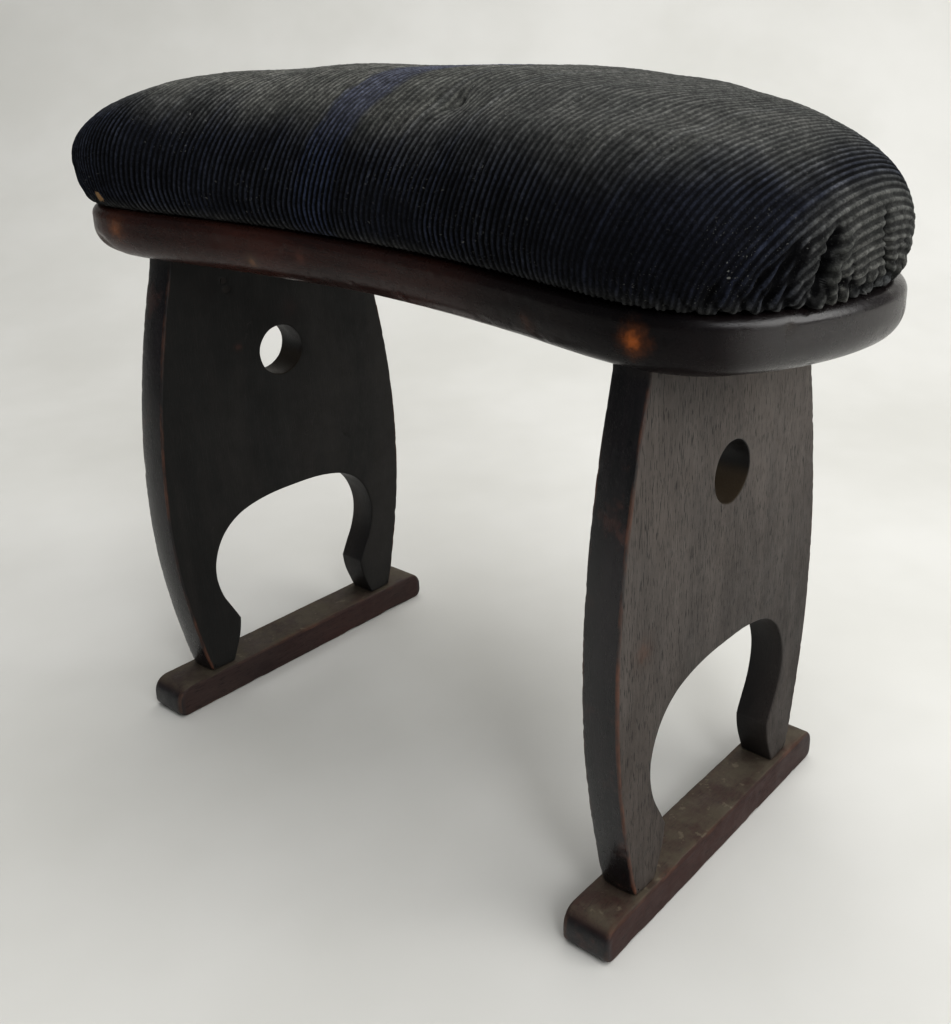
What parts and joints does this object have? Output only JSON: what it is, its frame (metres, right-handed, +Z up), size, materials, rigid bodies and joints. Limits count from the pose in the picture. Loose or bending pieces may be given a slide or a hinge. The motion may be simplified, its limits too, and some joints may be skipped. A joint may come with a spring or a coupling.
{
  "type": "kneeling bench",
  "caption": "Kneeling bench or low stool with a kidney-shaped corduroy cushion on a thick seat board, shaped end boards with hand holes and sledge feet.",
  "frame": {"origin": "bottom centre of the whole bench's box, on the floor", "axes": "+X along the bench, +Z up, -Y is the concave front edge"},
  "size_m": [0.4908, 0.2236, 0.3887],
  "materials": {
    "ebonised_wood": "ebonised and waxed, satin, worn brown at the edges",
    "foot_wood": "ebonised, dry and rubbed to brown on the arrises",
    "screw_filler": "matte stopping, slightly sunk",
    "screw_steel": "dull, aged",
    "corduroy": "wide-wale corduroy, faded black with a navy band",
    "flock": "packed flock",
    "felt": "felt wadding",
    "tack_metal": "blued, aged"
  },
  "bodies": {
    "root": {"seat_board": "ebonised_wood", "end_board_left": "ebonised_wood", "end_board_right": "ebonised_wood", "foot_left": "foot_wood", "foot_right": "foot_wood", "seat_screw_left_front": "screw_steel", "screw_plug_left_front": "screw_filler", "foot_screw_left_front": "screw_steel", "seat_screw_left_back": "screw_steel", "screw_plug_left_back": "screw_filler", "foot_screw_left_back": "screw_steel", "seat_screw_right_front": "screw_steel", "screw_plug_right_front": "screw_filler", "foot_screw_right_front": "screw_steel", "seat_screw_right_back": "screw_steel", "screw_plug_right_back": "screw_filler", "foot_screw_right_back": "screw_steel", "cushion_cover": "corduroy", "cushion_stuffing": "flock", "cushion_wadding": "felt", "cover_tack_01": "tack_metal", "cover_tack_02": "tack_metal", "cover_tack_03": "tack_metal", "cover_tack_04": "tack_metal", "cover_tack_05": "tack_metal", "cover_tack_06": "tack_metal", "cover_tack_07": "tack_metal", "cover_tack_08": "tack_metal", "cover_tack_09": "tack_metal", "cover_tack_10": "tack_metal", "cover_tack_11": "tack_metal", "cover_tack_12": "tack_metal", "cover_tack_13": "tack_metal", "cover_tack_14": "tack_metal", "cover_tack_15": "tack_metal", "cover_tack_16": "tack_metal", "cover_tack_17": "tack_metal", "cover_tack_18": "tack_metal", "cover_tack_19": "tack_metal", "cover_tack_20": "tack_metal"}
  },
  "joints": []
}
